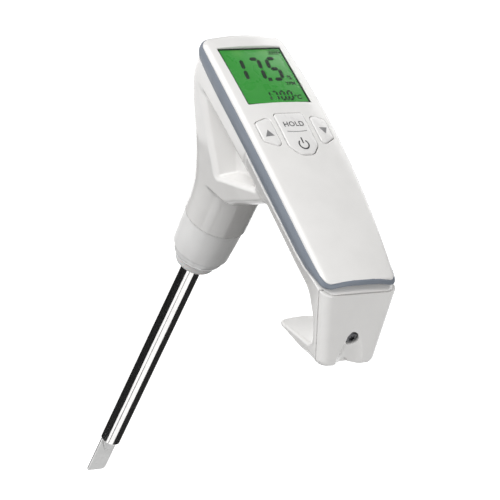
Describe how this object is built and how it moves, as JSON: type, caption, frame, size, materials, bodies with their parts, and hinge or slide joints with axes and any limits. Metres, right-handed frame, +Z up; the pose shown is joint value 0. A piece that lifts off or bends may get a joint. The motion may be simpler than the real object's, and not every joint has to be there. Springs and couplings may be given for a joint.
{
  "type": "handheld frying oil tester",
  "caption": "Handheld tester with a display handle across the top of a vertical steel probe, push keys, a hooked foot and a screwed battery cover.",
  "frame": {"origin": "middle of the sensor blade's lower end, on the axis of the probe", "axes": "+Z up the probe, +X from the probe towards the foot end of the handle, +Y completes the right-handed set across the handle"},
  "size_m": [0.1528, 0.049, 0.246],
  "materials": {
    "white_plastic": "glossy warm white moulded plastic",
    "grey_band": "satin blue-grey soft-touch band",
    "key_plastic": "satin white keys with grey symbols",
    "display_green": "clear window over a green lit display",
    "lcd_glass": "liquid crystal glass",
    "backlight": "diffuser plate",
    "silicone": "translucent grey silicone",
    "black_rubber": "matt black elastomer",
    "circuit_board": "green solder mask",
    "chip_black": "moulded component black",
    "stainless": "polished stainless tube",
    "dark_steel": "dark plated screw",
    "brass_insert": "knurled brass insert",
    "nickel": "bright nickel plate",
    "cell_jacket": "printed cell jacket, left plain",
    "ceramic": "white technical ceramic",
    "ceramic_back": "dark glazed substrate",
    "cable_jacket": "flexible heat resistant jacket"
  },
  "bodies": {
    "casing": {"front_cover": "white_plastic", "seal_band": "grey_band", "rear_housing": "white_plastic", "screw_insert": "brass_insert", "display_window": "display_green", "lcd_panel": "lcd_glass", "lcd_backlight": "backlight", "keypad_mat": "silicone", "main_pcb": "circuit_board", "pcb_screw_1": "nickel", "pcb_screw_2": "nickel", "pcb_screw_3": "nickel", "pcb_screw_4": "nickel", "hold_switch": "chip_black", "power_switch": "chip_black", "up_switch": "chip_black", "down_switch": "chip_black", "microcontroller": "chip_black", "buzzer": "chip_black", "probe_connector": "silicone", "battery_1": "cell_jacket", "battery_2": "cell_jacket", "board_contact_1": "nickel", "board_contact_2": "nickel", "battery_cradle": "white_plastic", "probe_sleeve": "white_plastic", "sleeve_seal": "black_rubber", "sleeve_ring": "white_plastic", "gland_lip": "silicone", "gland_bush": "black_rubber", "probe_tube": "stainless", "potting_plug": "ceramic", "sensor_plate": "ceramic", "sensor_backing": "ceramic_back", "sensor_cable": "cable_jacket"},
    "hold_power_key": {"button_hold_power": "key_plastic"},
    "up_key": {"button_up": "key_plastic"},
    "down_key": {"button_down": "key_plastic"},
    "battery_door": {"battery_cover": "white_plastic", "battery_seal": "black_rubber"},
    "door_screw": {"cover_screw": "dark_steel"}
  },
  "joints": [
    {"name": "hold_power_press", "type": "slide", "parent": "casing", "child": "hold_power_key", "axis": [-0.1583, 0, -0.9874], "range_m": [0, 0.0008], "stiffness_N_per_m": 400, "springref_m": -0.0005},
    {"name": "up_press", "type": "slide", "parent": "casing", "child": "up_key", "axis": [-0.1583, 0, -0.9874], "range_m": [0, 0.0008], "stiffness_N_per_m": 400, "springref_m": -0.0005},
    {"name": "down_press", "type": "slide", "parent": "casing", "child": "down_key", "axis": [-0.1583, 0, -0.9874], "range_m": [0, 0.0008], "stiffness_N_per_m": 400, "springref_m": -0.0005},
    {"name": "battery_door_pull", "type": "slide", "parent": "casing", "child": "battery_door", "axis": [1, 0, 0], "range_m": [0, 0.03]},
    {"name": "door_screw_turn", "type": "hinge", "parent": "battery_door", "child": "door_screw", "pos_m": [0.1088, 0, 0.1964], "axis": [1, 0, 0], "continuous": true}
  ]
}
